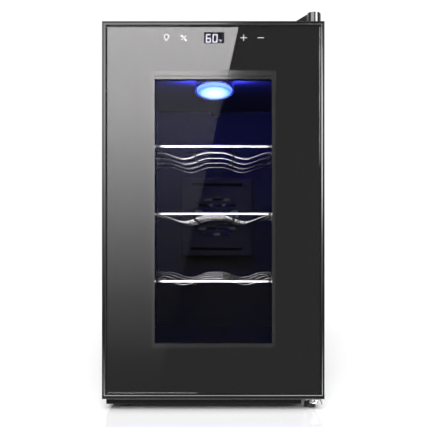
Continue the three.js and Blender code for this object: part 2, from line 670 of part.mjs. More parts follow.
function door() {
  const leaf = new THREE.Group();
  cooler.add(leaf);
  const fit = (name, geometry, material) => add(name, geometry, material, leaf);
  fit('door_frame', doorFrame(), FINISH.doorFrame);
  fit('outer_glass', block(-PANE_HALF_W, PANE_HALF_W, PANE_FRONT_Y, PANE_BACK_Y, PANE_BOTTOM, PANE_TOP),
    FINISH.glass);
  fit('glass_print', ringY([-PANE_HALF_W + 0.2, PANE_HALF_W - 0.2, PANE_BOTTOM + 0.2, PANE_TOP - 0.2],
    [-PRINT_HALF_W, PRINT_HALF_W, PRINT_BOTTOM, PRINT_TOP], PANE_BACK_Y + 0.1, PRINT_BACK_Y), FINISH.print);
  fit('spacer_frame', ringY(SPACER_OUT, CLEAR, SPACER_FRONT_Y, SPACER_BACK_Y), FINISH.spacer);
  fit('inner_glass', slabY(rectangle(...INNER_PANE), INNER_PANE_Y, INNER_PANE_Y + 3), FINISH.glass);
  fit('door_rear_panel', doorRearPanel(), FINISH.liner);
  fit('door_foam', doorFoam(), FINISH.foam);
  fit('door_gasket', ringY(SEAL_OUT, SEAL_IN, DOOR_BACK + 0.1, CASE_FRONT - GAP), FINISH.rubber);
  fit('touch_board', touchBoard(), FINISH.board);
  fit('display_module', block(-DISPLAY_HALF_W, DISPLAY_HALF_W, SPACER_FRONT_Y + 0.1, FRONT + 14,
    DISPLAY_Z[0], DISPLAY_Z[1]), FINISH.display);
  fit('top_hinge_bush', bush(CASE_TOP - 11.7, CASE_TOP - GAP), FINISH.greyPlastic);
  fit('bottom_hinge_bush', bush(UNDERSIDE + GAP, UNDERSIDE + 11.7), FINISH.greyPlastic);
}

// ---- Hinges -------------------------------------------------------------------------------

const BRACKET_Z = UNDERSIDE - 2.6;             // underside of the lower bracket
const TOP_BRACKET_Z = CASE_TOP + GAP;
const PIN_HOLE_R = PIN_R + 0.4;
const COVER = { left: 88.6, shoulder: 110, right: 125, bodyFront: -234, back: -158 };

function topHingeBracket() {
  const top = TOP_BRACKET_Z + 2;
  const plate = join(block(103, 122, COVER.bodyFront + 3, -165, TOP_BRACKET_Z, top),
    cylinderZ(PIN_X, PIN_Y, 6, TOP_BRACKET_Z, top),
    block(PIN_X - 4.2, PIN_X + 4.2, PIN_Y, COVER.bodyFront + 4, TOP_BRACKET_Z, top));
  return cut(plate, cylinderZ(PIN_X, PIN_Y, PIN_HOLE_R, TOP_BRACKET_Z - 1, top + 1));
}

// A pin with a head; head and shank are given as [radius, z0, z1].
function headedPin(head, shank) {
  return join(cylinderZ(PIN_X, PIN_Y, head[0], head[1], head[2]),
    cylinderZ(PIN_X, PIN_Y, shank[0], shank[1], shank[2]));
}

// Outline of the cap seen from the front: sloping on the left, upright on the right.
function coverFace(inset) {
  const top = HINGE_COVER_TOP - inset;
  const right = COVER.right - inset;
  return outline([[COVER.left - 4 + inset, 440], [COVER.left + inset, CASE_TOP],
    [COVER.shoulder - 1 + inset, top - 0.7], [COVER.shoulder + 1 + inset, top],
    [right - 3, top], [right - 0.8, top - 0.8], [right, top - 3], [right, 440]]);
}

// The cap as a solid, all its faces moved in by the inset: a round post over the pin and a body.
function hingeCap(inset, z0) {
  const post = cylinderZ(PIN_X, PIN_Y, COVER.right - PIN_X - inset, z0, HINGE_COVER_TOP, 32);
  const body = block(COVER.left + inset, COVER.right - inset, COVER.bodyFront + inset, COVER.back - inset,
    z0, HINGE_COVER_TOP);
  return common(join(post, body), slabY(coverFace(inset), -260, -150));
}

function topHingeCover() {
  return cut(hingeCap(0, TOP_BRACKET_Z), hingeCap(1.6, TOP_BRACKET_Z - 1));
}

// A flat plate under the door and the cabinet, with a lip bent down beside the pin.
function bottomHingeBracket() {
  const top = UNDERSIDE - GAP;
  const plate = block(108, 124.4, PIN_Y - 8, -170, BRACKET_Z, top);
  const tip = 8.6;
  const lip = outline([[122.6, top], [122.9, BRACKET_Z], [124.3, tip], [126.2, tip],
    [124.8, BRACKET_Z + 1], [124.3, top]]);
  return cut(join(plate, slabY(lip, PIN_Y - 8, -221)),
    cylinderZ(PIN_X, PIN_Y, PIN_HOLE_R, BRACKET_Z - 1, UNDERSIDE));
}

function hinges() {
  add('top_hinge_bracket', topHingeBracket(), FINISH.zinc);
  const washer = TOP_BRACKET_Z + 2.1;
  add('top_hinge_pin', headedPin([5, washer, washer + 3], [PIN_R, CASE_TOP - 10, washer + 1]), FINISH.zinc);
  add('top_hinge_cover', topHingeCover(), FINISH.blackPlastic);
  for (const [index, y] of [[1, -200], [2, -178]]) {
    add(`top_hinge_screw_${index}`, cylinderZ(111, y, 4, washer, washer + 2.5, 8), FINISH.zinc);
  }
  add('bottom_hinge_bracket', bottomHingeBracket(), FINISH.zinc);
  add('bottom_hinge_pin', headedPin([5.2, BRACKET_Z - 4.6, BRACKET_Z - 0.1],
    [PIN_R, BRACKET_Z - 1, UNDERSIDE + 10]), FINISH.zinc);
  for (const [index, x] of [[1, 112], [2, 121]]) {
    const head = cylinderZ(x, -180, 3.2, BRACKET_Z - 2.3, BRACKET_Z - 0.1, 8);
    add(`bottom_hinge_screw_${index}`, head, FINISH.zinc);
  }
}

cabinet();
shelves();
coolingUnit();
powerSupply();
lamp();
door();
hinges();

export default cooler;
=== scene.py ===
"""Looks of the wine cooler: materials, fine meshes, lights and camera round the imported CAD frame."""

import json
import math

import bmesh
import bpy
from mathutils import Matrix, Vector

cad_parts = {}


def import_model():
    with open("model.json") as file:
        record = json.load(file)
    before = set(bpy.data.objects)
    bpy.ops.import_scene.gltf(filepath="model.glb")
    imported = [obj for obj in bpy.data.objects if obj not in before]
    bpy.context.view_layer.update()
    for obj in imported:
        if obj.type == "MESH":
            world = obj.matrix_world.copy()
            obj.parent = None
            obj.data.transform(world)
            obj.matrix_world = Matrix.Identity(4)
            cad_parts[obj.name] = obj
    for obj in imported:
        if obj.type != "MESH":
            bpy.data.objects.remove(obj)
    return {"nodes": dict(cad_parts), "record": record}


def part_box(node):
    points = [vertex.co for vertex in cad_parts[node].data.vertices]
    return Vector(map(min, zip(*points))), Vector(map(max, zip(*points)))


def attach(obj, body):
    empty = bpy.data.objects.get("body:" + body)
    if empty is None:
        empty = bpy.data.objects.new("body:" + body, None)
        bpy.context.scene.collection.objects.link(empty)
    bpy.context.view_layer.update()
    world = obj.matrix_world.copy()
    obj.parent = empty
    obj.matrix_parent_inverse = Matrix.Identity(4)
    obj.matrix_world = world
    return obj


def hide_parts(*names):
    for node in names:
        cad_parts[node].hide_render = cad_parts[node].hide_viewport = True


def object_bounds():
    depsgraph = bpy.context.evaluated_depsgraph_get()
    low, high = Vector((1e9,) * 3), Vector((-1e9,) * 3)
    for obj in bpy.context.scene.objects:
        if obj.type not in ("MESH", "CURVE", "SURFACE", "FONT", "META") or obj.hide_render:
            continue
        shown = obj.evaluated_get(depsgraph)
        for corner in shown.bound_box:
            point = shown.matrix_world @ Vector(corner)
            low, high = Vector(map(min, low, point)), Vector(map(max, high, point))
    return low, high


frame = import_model()
CAD_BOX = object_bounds()

MM = 0.001
BODIES = frame["record"]["behaviour"]["bodies"]
BODY_OF = {node: body for body, nodes in BODIES.items() for node in nodes}
SLOT_OF = {part["node"]: part["material_slot"] for part in frame["record"]["subparts"]}
BOX = {node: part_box(node) for node in frame["nodes"]}

# ---- Node helpers ---------------------------------------------------------------------------


class Shader:
    """A material's node tree, with short calls for the nodes that these finishes use."""

    def __init__(self, name):
        self.material = bpy.data.materials.new(name)
        self.material.use_nodes = True
        self.tree = self.material.node_tree
        self.tree.nodes.clear()
        self.output = self.tree.nodes.new("ShaderNodeOutputMaterial")
        self.place = self.tree.nodes.new("ShaderNodeTexCoord").outputs["Object"]

    def node(self, kind, **values):
        made = self.tree.nodes.new("ShaderNode" + kind)
        for key, value in values.items():
            setattr(made, key, value)
        return made

    def link(self, source, target):
        self.tree.links.new(source, target)

    def scaled(self, scale):
        """Object coordinates stretched by a factor on each axis."""
        mapping = self.node("Mapping")
        self.link(self.place, mapping.inputs["Vector"])
        mapping.inputs["Scale"].default_value = scale
        return mapping.outputs["Vector"]

    def noise(self, scale, detail=3.0, stretch=(1, 1, 1)):
        texture = self.node("TexNoise")
        self.link(self.scaled(stretch), texture.inputs["Vector"])
        texture.inputs["Scale"].default_value = scale
        texture.inputs["Detail"].default_value = detail
        return texture.outputs["Fac"]

    def cells(self, scale):
        texture = self.node("TexVoronoi")
        self.link(self.place, texture.inputs["Vector"])
        texture.inputs["Scale"].default_value = scale
        return texture.outputs["Distance"]

    def ramp(self, fac, stops):
        """Colours along a factor, given as (position, colour) pairs."""
        node = self.node("ValToRGB")
        elements = node.color_ramp.elements
        while len(elements) < len(stops):
            elements.new(0.5)
        for element, (position, colour) in zip(elements, stops):
            element.position = position
            element.color = (*colour, 1)
        self.link(fac, node.inputs["Fac"])
        return node.outputs["Color"]

    def spread(self, fac, low, high, from_low=0.3, from_high=0.7):
        node = self.node("MapRange")
        self.link(fac, node.inputs["Value"])
        node.inputs["From Min"].default_value = from_low
        node.inputs["From Max"].default_value = from_high
        node.inputs["To Min"].default_value = low
        node.inputs["To Max"].default_value = high
        return node.outputs["Result"]

    def bump(self, height, strength, distance):
        node = self.node("Bump")
        node.inputs["Strength"].default_value = strength
        node.inputs["Distance"].default_value = distance
        self.link(height, node.inputs["Height"])
        return node.outputs["Normal"]

    def principled(self, **values):
        node = self.node("BsdfPrincipled")
        for key, value in values.items():
            node.inputs[key.replace("_", " ")].default_value = value
        return node

    def done(self, shader):
        self.link(shader, self.output.inputs["Surface"])
        return self.material


def shade(colour, factor):
    return tuple(channel * factor for channel in colour)


def finish_of(name, colour, rough, *, metallic=0.0, vary=0.12, mottle=40.0, rough_vary=0.06,
              grain=900.0, grain_height=0.02, stretch=(1, 1, 1), **sockets):
    """A principled finish whose colour and roughness drift a little, with a fine surface grain."""
    sh = Shader(name)
    body = sh.principled(Metallic=metallic, **sockets)
    drift = sh.noise(mottle, 4.0)
    tones = [(0.3, shade(colour, 1 - vary)), (0.7, shade(colour, 1 + vary))]
    sh.link(sh.ramp(drift, tones), body.inputs["Base Color"])
    smudge = sh.noise(mottle * 2.3, 5.0)
    sh.link(sh.spread(smudge, rough - rough_vary, rough + rough_vary), body.inputs["Roughness"])
    fine = sh.noise(grain, 2.0, stretch)
    sh.link(sh.bump(fine, 0.5, grain_height * MM), body.inputs["Normal"])
    return sh.done(body.outputs["BSDF"])


def pane_glass():
    """Clear coated glass: what is behind shows through, and a little is reflected."""
    sh = Shader("pane_glass")
    clear = sh.node("BsdfTransparent")
    clear.inputs["Color"].default_value = (0.965, 0.96, 0.96, 1)
    gloss = sh.node("BsdfGlossy")
    gloss.inputs["Color"].default_value = (1, 1, 1, 1)
    smear = sh.noise(7.0, 3.0, (1, 1, 3))
    sh.link(sh.spread(smear, 0.0, 0.01), gloss.inputs["Roughness"])
    fresnel = sh.node("Fresnel")
    fresnel.inputs["IOR"].default_value = 1.095
    mix = sh.node("MixShader")
    sh.link(fresnel.outputs["Fac"], mix.inputs[0])
    sh.link(clear.outputs["BSDF"], mix.inputs[1])
    sh.link(gloss.outputs["BSDF"], mix.inputs[2])
    return sh.done(mix.outputs["Shader"])


def circuit_board():
    """Green solder mask with copper tracks under it."""
    sh = Shader("circuit_board")
    body = sh.principled(Coat_Weight=0.3)
    tracks = sh.node("TexBrick")
    sh.link(sh.scaled((320, 320, 320)), tracks.inputs["Vector"])
    tracks.inputs["Color1"].default_value = (0.008, 0.075, 0.03, 1)
    tracks.inputs["Color2"].default_value = (0.012, 0.1, 0.04, 1)
    tracks.inputs["Mortar"].default_value = (0.03, 0.2, 0.07, 1)
    tracks.inputs["Mortar Size"].default_value = 0.06
    sh.link(tracks.outputs["Color"], body.inputs["Base Color"])
    sh.link(sh.spread(sh.noise(60), 0.3, 0.5), body.inputs["Roughness"])
    sh.link(sh.bump(tracks.outputs["Fac"], 0.4, 0.03 * MM), body.inputs["Normal"])
    return sh.done(body.outputs["BSDF"])


def rigid_foam():
    sh = Shader("foam")
    body = sh.principled(Roughness=0.95)
    cells = sh.cells(420)
    tones = [(0.1, (0.46, 0.36, 0.17)), (0.7, (0.78, 0.68, 0.42))]
    sh.link(sh.ramp(cells, tones), body.inputs["Base Color"])
    sh.link(sh.bump(cells, 0.8, 0.5 * MM), body.inputs["Normal"])
    return sh.done(body.outputs["BSDF"])


def glowing(name, stops, strength, centre, reach):
    """A surface that gives off light, its colour running outwards from a centre."""
    sh = Shader(name)
    body = sh.principled(Base_Color=(0.02, 0.025, 0.03, 1), Roughness=0.4, Specular_IOR_Level=0.0)
    offset = sh.node("VectorMath", operation="SUBTRACT")
    sh.link(sh.place, offset.inputs[0])
    offset.inputs[1].default_value = centre
    squeeze = sh.node("VectorMath", operation="DIVIDE")
    sh.link(offset.outputs["Vector"], squeeze.inputs[0])
    squeeze.inputs[1].default_value = reach
    length = sh.node("VectorMath", operation="LENGTH")
    sh.link(squeeze.outputs["Vector"], length.inputs[0])
    sh.link(sh.ramp(length.outputs["Value"], stops), body.inputs["Emission Color"])
    body.inputs["Emission Strength"].default_value = strength
    sh.link(sh.bump(sh.noise(500), 0.3, 0.02 * MM), body.inputs["Normal"])
    return sh.done(body.outputs["BSDF"])


def even_glow(name, colour, strength):
    """A lit symbol, a shade brighter where its backlight sits."""
    sh = Shader(name)
    body = sh.principled(Base_Color=(0.3, 0.3, 0.32, 1), Roughness=0.35)
    light = sh.noise(160, 2.0)
    sh.link(sh.ramp(light, [(0.3, shade(colour, 0.86)), (0.7, colour)]), body.inputs["Emission Color"])
    body.inputs["Emission Strength"].default_value = strength
    return sh.done(body.outputs["BSDF"])


LENS_LO, LENS_HI = BOX["lamp_lens"]
LENS_CENTRE = (LENS_LO + LENS_HI) / 2
LENS_HALF_W = (LENS_HI.x - LENS_LO.x) / 2
LENS_HALF_H = (LENS_HI.z - LENS_LO.z) / 2 * math.sqrt(2) - 1.3 * MM
LENS_GLOW = LENS_CENTRE + Vector((0, 2.4, -2.4)) * MM
LENS_TONES = [(0.0, (1.0, 1.0, 1.0)), (0.34, (0.84, 1.0, 1.0)), (0.60, (0.55, 0.93, 1.0)),
              (0.78, (0.27, 0.64, 1.0)), (0.92, (0.07, 0.26, 1.0)), (1.0, (0.03, 0.08, 1.0)),
              (1.0, (0.20, 0.45, 1.0))]

FINISH = {
    "case_steel": finish_of("case_steel", (0.014, 0.014, 0.0155), 0.48, vary=0.06, grain=1400,
                            grain_height=0.015, rough_vary=0.03, Specular_IOR_Level=0.35),
    "door_frame": finish_of("door_frame", (0.003, 0.003, 0.0032), 0.12, vary=0.06, grain=1600,
                            grain_height=0.0005, rough_vary=0.015, Specular_IOR_Level=0.6),
    "glass": pane_glass(),
    "glass_print": finish_of("glass_print", (0.004, 0.004, 0.0042), 0.006, vary=0.1, rough_vary=0.003,
                             mottle=9, grain=900, grain_height=0.00001, Specular_IOR_Level=1.0),
    "spacer": finish_of("spacer", (0.012, 0.012, 0.0125), 0.10, vary=0.03, rough_vary=0.01, mottle=25,
                        grain=700, grain_height=0.0002, IOR=1.62, Specular_IOR_Level=0.82),
    "liner": finish_of("liner", (0.0045, 0.0045, 0.0055), 0.36, vary=0.05, rough_vary=0.01, grain=1500,
                       grain_height=0.006, Specular_IOR_Level=0.12),
    "foam": rigid_foam(),
    "black_plastic": finish_of("black_plastic", (0.006, 0.006, 0.0065), 0.12, vary=0.08, rough_vary=0.03,
                               grain=500, grain_height=0.004, Coat_Weight=0.5, Coat_Roughness=0.05),
    "grey_plastic": finish_of("grey_plastic", (0.035, 0.036, 0.040), 0.55, grain=1100, grain_height=0.05),
    "rubber": finish_of("rubber", (0.006, 0.006, 0.006), 0.8, grain=1500, grain_height=0.06),
    "gasket": finish_of("gasket", (0.014, 0.014, 0.015), 0.62, grain=1300, grain_height=0.04),
    "chrome": finish_of("chrome", (0.74, 0.74, 0.75), 0.13, metallic=1.0, vary=0.03, rough_vary=0.05,
                        grain=350, grain_height=0.01),
    "zinc": finish_of("zinc", (0.80, 0.80, 0.81), 0.22, metallic=1.0, vary=0.10, rough_vary=0.08,
                      grain=300, grain_height=0.03),
    "heat_sink": finish_of("heat_sink", (0.55, 0.56, 0.58), 0.36, metallic=1.0, stretch=(6, 6, 0.3),
                           grain=500, grain_height=0.04),
    "ceramic": finish_of("ceramic", (0.72, 0.71, 0.66), 0.6, grain=800, grain_height=0.03),
    "circuit_board": circuit_board(),
    "pin_metal": finish_of("pin_metal", (0.72, 0.62, 0.38), 0.25, metallic=1.0, grain=500),
    "lamp_lens": glowing("lamp_lens", LENS_TONES, 1.15, LENS_GLOW,
                         (LENS_HALF_W, LENS_HALF_H, LENS_HALF_H)),
    "display": finish_of("display", (0.003, 0.003, 0.006), 0.3, grain=200, grain_height=0.002,
                         Specular_IOR_Level=0.0),
}
# Near-black with almost no sheen: painted shade, used for the shadowed gap beside the glass and the plinth
# under the door.
PAINTED_SHADE_BLACK = finish_of("painted_shade_black", (0.002, 0.002, 0.0022), 0.5, vary=0.1, rough_vary=0.03, grain=900,
                       grain_height=0.01, Specular_IOR_Level=0.06)
# Darker than the black plastic: painted shade on the inner fan cover at the back of the cabinet; its low
# sheen is its own matt finish.
PAINTED_SHADE_MATT_BLACK = finish_of("painted_shade_matt_black", (0.003, 0.003, 0.0035), 0.42, vary=0.08, rough_vary=0.03, grain=1200,
                       grain_height=0.02, Specular_IOR_Level=0.25)
# Chrome at half brightness: painted shade on the shelves' cross wires and support rods, which are the same
# chrome as the front bar.
PAINTED_SHADE_WIRE = finish_of("painted_shade_wire", (0.36, 0.36, 0.37), 0.16, metallic=1.0, vary=0.04, rough_vary=0.05,
                        grain=350, grain_height=0.01)
LIT_DIGIT = even_glow("lit_digit", (0.82, 0.81, 1.0), 1.0)
LIT_UNIT = even_glow("lit_unit", (0.80, 0.80, 1.0), 0.5)
LIT_ICON = even_glow("lit_icon", (0.87, 0.89, 0.9), 1.5)
DIM_ICON = even_glow("dim_icon", (0.87, 0.89, 0.9), 0.62)

# ---- Mesh helpers ---------------------------------------------------------------------------


def link(piece):
    bpy.context.scene.collection.objects.link(piece)
    return piece


def mesh_piece(name, points, faces):
    mesh = bpy.data.meshes.new(name)
    mesh.from_pydata([tuple(p) for p in points], [], faces)
    return link(bpy.data.objects.new(name, mesh))


def tidy_mesh(piece, weld=0.0):
    """Welds the vertices where asked and turns every face outwards."""
    bm = bmesh.new()
    bm.from_mesh(piece.data)
    if weld:
        bmesh.ops.remove_doubles(bm, verts=bm.verts, dist=weld)
    bmesh.ops.recalc_face_normals(bm, faces=bm.faces)
    bm.to_mesh(piece.data)
    bm.free()


def baked(piece):
    """Replaces a piece's mesh by the one that its modifiers make."""
    view = bpy.context.evaluated_depsgraph_get()
    view.update()
    mesh = bpy.data.meshes.new_from_object(piece.evaluated_get(view))
    piece.modifiers.clear()
    old = piece.data
    piece.data = mesh
    mesh.name = piece.name
    if old.users == 0:
        bpy.data.meshes.remove(old)
    return piece


def rounded(piece, width, segments=2, angle=35.0):
    """Rounds every edge sharper than the angle."""
    bevel = piece.modifiers.new("round", "BEVEL")
    bevel.width = width
    bevel.segments = segments
    bevel.limit_method = "ANGLE"
    bevel.angle_limit = math.radians(angle)
    bevel.use_clamp_overlap = True
    bevel.harden_normals = False
    return baked(piece)


def smooth(piece, angle=40.0):
    """Smooth shading that keeps broad faces flat and edges over the angle sharp."""
    mesh = piece.data
    mesh.polygons.foreach_set("use_smooth", [True] * len(mesh.polygons))
    mesh.set_sharp_from_angle(angle=math.radians(angle))
    weigh = piece.modifiers.new("weigh", "WEIGHTED_NORMAL")
    weigh.keep_sharp = True
    return baked(piece)


def carved(piece, *cutters):
    """Takes the cutters away from a piece, then removes them."""
    for cutter in cutters:
        groove = piece.modifiers.new("carve", "BOOLEAN")
        groove.operation = "DIFFERENCE"
        groove.solver = "EXACT"
        groove.object = cutter
    baked(piece)
    for cutter in cutters:
        bpy.data.objects.remove(cutter)


def place(piece, node, material=None, hide=True):
    """Gives a finished piece the finish of its CAD node's slot, or the material given, and the node's body.
    """
    slot = SLOT_OF[node]
    piece.data.materials.clear()
    piece.data.materials.append(material or FINISH[slot])
    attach(piece, BODY_OF[node])
    if hide:
        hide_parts(node)


def refined(node, width, segments=2, angle=35.0, smooth_angle=40.0, material=None):
    """A CAD node's own shape, with its coplanar facets merged and its edges rounded."""
    mesh = frame["nodes"][node].data.copy()
    piece = link(bpy.data.objects.new("fine_" + node, mesh))
    bm = bmesh.new()
    bm.from_mesh(mesh)
    bmesh.ops.remove_doubles(bm, verts=bm.verts, dist=0.002 * MM)
    bmesh.ops.dissolve_limit(bm, angle_limit=math.radians(1.0), verts=bm.verts, edges=bm.edges)
    bmesh.ops.recalc_face_normals(bm, faces=bm.faces)
    bm.to_mesh(mesh)
    bm.free()
    rounded(piece, width, segments, angle)
    place(smooth(piece, smooth_angle), node, material)


def joined(name, pieces):
    """One object from several, kept in the order given."""
    bm = bmesh.new()
    for piece in pieces:
        bm.from_mesh(piece.data)
    mesh = bpy.data.meshes.new(name)
    bm.to_mesh(mesh)
    bm.free()
    for piece in pieces:
        old = piece.data
        bpy.data.objects.remove(piece)
        bpy.data.meshes.remove(old)
    return link(bpy.data.objects.new(name, mesh))


def ring_faces(rings, sides):
    """Faces between rings of vertices, and a cap at each end."""
    faces = []
    for i in range(rings - 1):
        for k in range(sides):
            m = (k + 1) % sides
            faces.append((i * sides + k, i * sides + m, (i + 1) * sides + m, (i + 1) * sides + k))
    faces.append(tuple(reversed(range(sides))))
    faces.append(tuple((rings - 1) * sides + k for k in range(sides)))
    return faces


def tube(name, points, radius, sides):
    """A round bar along points, with rounded shading and flat ends."""
    points = [Vector(p) for p in points]
    verts = []
    normal = None
    for i, point in enumerate(points):
        before = points[max(i - 1, 0)]
        after = points[min(i + 1, len(points) - 1)]
        along = (after - before).normalized()
        if normal is None:
            side = Vector((0, 0, 1)) if abs(along.z) < 0.9 else Vector((1, 0, 0))
            normal = side.cross(along).normalized()
        normal = (normal - along * normal.dot(along)).normalized()
        across = along.cross(normal)
        verts += [point + radius * (math.cos(a) * normal + math.sin(a) * across)
                  for a in (2 * math.pi * k / sides for k in range(sides))]
    piece = mesh_piece(name, verts, ring_faces(len(points), sides))
    tidy_mesh(piece)
    return smooth(piece, 50)


def turned(name, profile, centre, sides, axis="Z"):
    """A lathe shape from (radius, height) points, its height along Z or Y."""
    verts = []
    faces = []
    index = []
    for radius, height in profile:
        if radius == 0:
            verts.append(Vector((0, 0, height)))
            index.append([len(verts) - 1] * sides)
        else:
            index.append(list(range(len(verts), len(verts) + sides)))
            for k in range(sides):
                a = 2 * math.pi * k / sides
                verts.append(Vector((radius * math.cos(a), radius * math.sin(a), height)))
    for lower, upper in zip(index, index[1:]):
        for k in range(sides):
            m = (k + 1) % sides
            corners = []
            for v in (lower[k], lower[m], upper[m], upper[k]):
                if v not in corners:
                    corners.append(v)
            if len(corners) > 2:
                faces.append(tuple(corners))
    if axis == "Y":
        verts = [Vector((v.x, -v.z, v.y)) for v in verts]
    piece = mesh_piece(name, [v + Vector(centre) for v in verts], faces)
    tidy_mesh(piece)
    return smooth(piece, 35)


def slab(name, outlines, y0, y1):
    """A flat plate between two depths, from outlines in X and Z; later outlines are holes."""
    curve = bpy.data.curves.new(name, "CURVE")
    curve.dimensions = "2D"
    curve.fill_mode = "BOTH"
    curve.extrude = (y1 - y0) / 2
    for outline in outlines:
        spline = curve.splines.new("POLY")
        spline.points.add(len(outline) - 1)
        for point, (x, z) in zip(spline.points, outline):
            point.co = (x, z, 0, 1)
        spline.use_cyclic_u = True
    holder = link(bpy.data.objects.new(name + "_curve", curve))
    view = bpy.context.evaluated_depsgraph_get()
    mesh = bpy.data.meshes.new_from_object(holder.evaluated_get(view))
    bpy.data.objects.remove(holder)
    bpy.data.curves.remove(curve)
    mesh.transform(Matrix.Translation((0, (y0 + y1) / 2, 0)) @ Matrix.Rotation(math.pi / 2, 4, "X"))
    mesh.name = name
    piece = link(bpy.data.objects.new(name, mesh))
    tidy_mesh(piece, 0.0005 * MM)
    return smooth(piece, 30)


def box_outline(x0, x1, z0, z1, radius=0.0, steps=4):
    """A rectangle's corners, rounded where a radius is given."""
    if not radius:
        return [(x0, z0), (x1, z0), (x1, z1), (x0, z1)]
    points = []
    for cx, cz, start in ((x1 - radius, z0 + radius, -90), (x1 - radius, z1 - radius, 0),
                          (x0 + radius, z1 - radius, 90), (x0 + radius, z0 + radius, 180)):
        for k in range(steps + 1):
            a = math.radians(start + 90 * k / steps)
            points.append((cx + radius * math.cos(a), cz + radius * math.sin(a)))
    return points


def solid_box(name, low, high, width=0.0, segments=2):
    """A box with rounded edges."""
    (x0, y0, z0), (x1, y1, z1) = low, high
    verts = [(x, y, z) for x in (x0, x1) for y in (y0, y1) for z in (z0, z1)]
    faces = [(0, 1, 3, 2), (4, 6, 7, 5), (0, 4, 5, 1), (2, 3, 7, 6), (0, 2, 6, 4), (1, 5, 7, 3)]
    piece = mesh_piece(name, verts, faces)
    tidy_mesh(piece)
    if width:
        rounded(piece, width, segments)
    return smooth(piece)


def swept_frame(name, low, high, profile):
    """A mitred frame in X and Z; profile points are its insets at the sides, foot and head, and a depth."""
    corners = ((low.x, low.z, 1, 1), (high.x, low.z, -1, 1), (high.x, high.z, -1, -1), (low.x, high.z, 1, -1))
    verts = []
    for x, z, sx, sz in corners:
        for side, foot, head, y in profile:
            verts.append((x + sx * side, y, z + sz * (foot if sz > 0 else head)))
    n = len(profile)
    faces = []
    for c in range(4):
        d = (c + 1) % 4
        for k in range(n):
            m = (k + 1) % n
            faces.append((c * n + k, c * n + m, d * n + m, d * n + k))
    piece = mesh_piece(name, verts, faces)
    tidy_mesh(piece)
    return smooth(piece, 28)


def arc(cx, cy, radius, start, end, steps=5):
    """Points on an arc, in a plane whose axes are the two centre values; angles in degrees."""
    return [(cx + radius * math.cos(math.radians(start + (end - start) * k / steps)),
             cy + radius * math.sin(math.radians(start + (end - start) * k / steps)))
            for k in range(steps + 1)]


# ---- Door -----------------------------------------------------------------------------------


BEAD_SLOPE = 0.62              # how far the bead falls away outwards, in mm
BEAD_CROWN = 0.30              # how far the bead's two edges lie below its crown, in mm
GLASS_GAP = 0.8 * MM           # between the bead and the glass


def frame_widths():
    """How wide the frame is beside the glass: at the sides, the foot and the head."""
    low, high = BOX["door_frame"]
    pane_low, pane_high = BOX["outer_glass"]
    return pane_low.x - low.x, pane_low.z - low.z, high.z - pane_high.z


def frame_profile(front, depth):
    """Across the frame: a thin lip, a groove, a rounded bead, a gap beside the glass and the back."""
    widths = frame_widths()
    lips = (0.8 * MM, 2.4 * MM, 0.9 * MM)
    groove_width, groove_depth = 1.0 * MM, 1.6 * MM
    gap_depth = 3.0 * MM
    seat_depth = 4.9 * MM
    wall = 8 * MM
    fillet = 0.4 * MM
    soft = 0.1 * MM

    def even(inset, down):
        return (inset, inset, inset, front + down)

    def lip(more, down):
        return (*(width + more for width in lips), front + down)

    def across(share, down):
        """A point between the groove, where share is 0, and the gap beside the glass, where it is 1."""
        inner = [width - GLASS_GAP for width in widths]
        outer = [width + groove_width for width in lips]
        return (*(o + (i - o) * share for o, i in zip(outer, inner)), front + down)

    def beside_glass(down):
        return (*(width - soft for width in widths), front + down)

    points = [even(fillet * (1 - math.cos(math.radians(t))), fillet * (1 - math.sin(math.radians(t))))
              for t in range(0, 91, 30)]
    points += [lip(0, 0), lip(soft, soft), lip(soft, groove_depth), across(-0.04, groove_depth)]
    for share in (0.0, 0.08, 0.2, 0.36, 0.52, 0.68, 0.82, 0.93, 1.0):
        points.append(across(share, (BEAD_SLOPE * (1 - share) + BEAD_CROWN * (2 * share - 1) ** 4) * MM))
    points += [across(1.0, gap_depth), beside_glass(gap_depth), beside_glass(seat_depth)]
    points += [even(wall, seat_depth), even(wall, depth - 0.6 * MM), even(wall - 0.6 * MM, depth),
               even(0.8 * MM, depth), even(0.25 * MM, depth - 0.25 * MM), even(0, depth - 0.8 * MM)]
    return points


def glazing_seal(low, high, front):
    """The strip that fills the gap between the frame and the glass, near-black as painted shade of the gap.
    """
    side, foot_width, head = frame_widths()
    inner, outer = 0.12 * MM, GLASS_GAP - 0.03 * MM
    top, bottom = 0.75 * MM, 2.9 * MM
    points = [(side - a, foot_width - a, head - a, front + b)
              for a, b in ((outer, bottom), (outer, top), (inner, top), (inner, bottom))]
    place(swept_frame("glazing_seal", low, high, points), "door_frame", PAINTED_SHADE_BLACK, hide=False)


def door_frame():
    """The moulded frame, with its grip hollow in the left side and the sockets of the hinge bushes."""
    low, high = BOX["door_frame"]
    ring = swept_frame("door_frame_ring", low, high, frame_profile(low.y, high.y - low.y))
    glazing_seal(low, high, low.y)
    grip_low = Vector((low.x - 4 * MM, low.y + 12 * MM, 195 * MM))
    grip_high = Vector((low.x + 5 * MM, low.y + 27 * MM, 275 * MM))
    carved(ring, solid_box("grip_cutter", grip_low, grip_high, 3.4 * MM, 5))
    bush_low, bush_high = BOX["top_hinge_bush"]
    centre = (bush_low + bush_high) / 2
    inside, outside = 5.3 * MM, 7.3 * MM
    tall, margin = 14 * MM, 1 * MM
    sockets = []
    for name, z0 in (("top", high.z - margin - tall), ("bottom", low.z + margin)):
        z1 = z0 + tall
        around = [(inside, z0), (outside, z0), (outside, z1), (inside, z1), (inside, z0)]
        sockets.append(turned("door_socket_" + name, around, (centre.x, centre.y, 0), 32))
    place(smooth(joined("door_frame_shell", [ring, *sockets]), 28), "door_frame")


